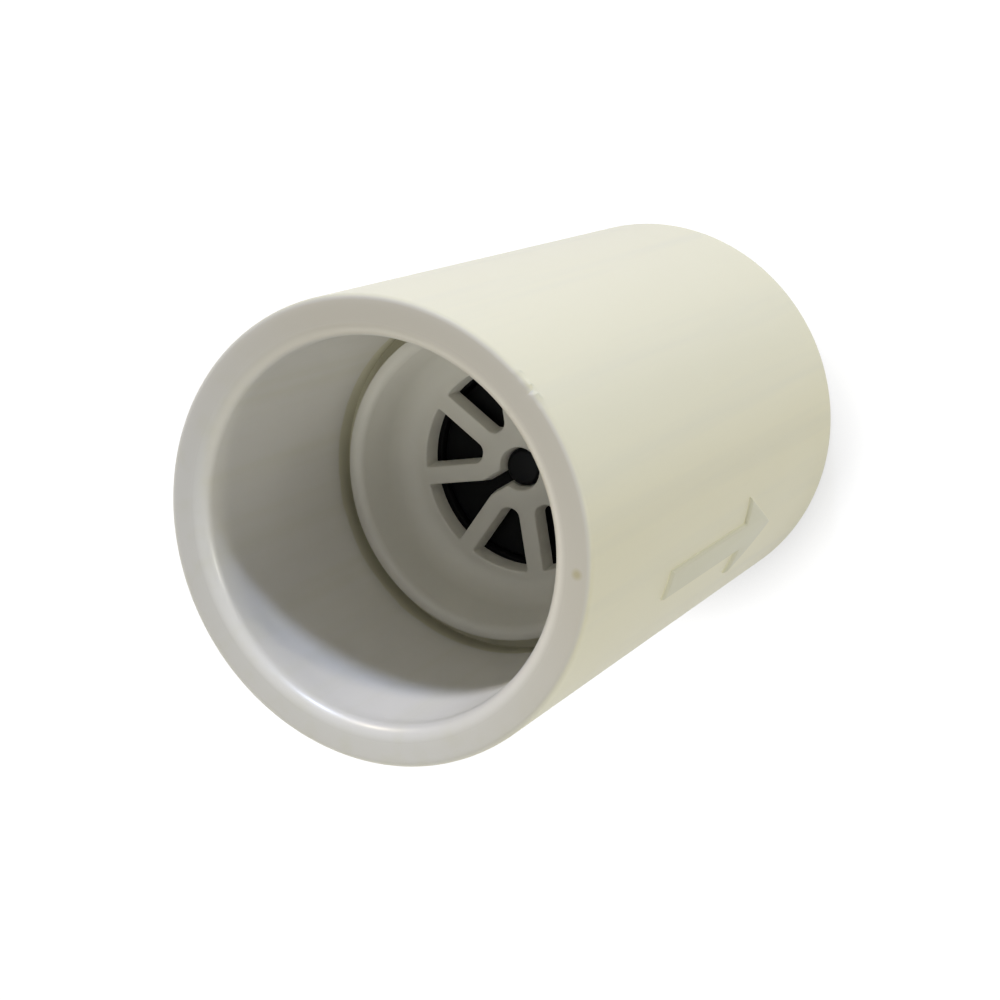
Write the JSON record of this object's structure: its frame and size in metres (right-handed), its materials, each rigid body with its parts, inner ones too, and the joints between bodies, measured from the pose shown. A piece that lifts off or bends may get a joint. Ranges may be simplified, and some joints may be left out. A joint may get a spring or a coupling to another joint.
{
  "type": "inline non-return valve",
  "caption": "Straight inline non-return valve: plain PVC tube with a pipe socket at each end, ported seat plate and a spring-loaded poppet with a rubber seal.",
  "frame": {"origin": "middle of the outlet end face, on the axis of the valve", "axes": "+Z along the axis of the valve from the outlet end to the inlet end, against the flow; the slotted port of the seat plate lies near +Y"},
  "size_m": [0.0408, 0.0408, 0.0613],
  "materials": {
    "body_pvc": "cream white moulded PVC, satin gloss",
    "insert_pvc": "greyish white moulded PVC, satin",
    "poppet_plastic": "black moulded plastic, satin",
    "seal_rubber": "black rubber, dull",
    "spring_steel": "stainless spring wire",
    "cage_pvc": "greyish white moulded PVC, satin"
  },
  "bodies": {
    "housing": {"valve_body": "body_pvc", "seat_insert": "insert_pvc", "outlet_cage": "cage_pvc", "closing_spring": "spring_steel"},
    "poppet_assembly": {"poppet": "poppet_plastic", "seal_washer": "seal_rubber"}
  },
  "joints": [
    {"name": "poppet_slide", "type": "slide", "parent": "housing", "child": "poppet_assembly", "axis": [0, 0, -1], "range_m": [0, 0.0045], "stiffness_N_per_m": 220, "springref_m": -0.0026, "deforming": ["closing_spring"]}
  ]
}
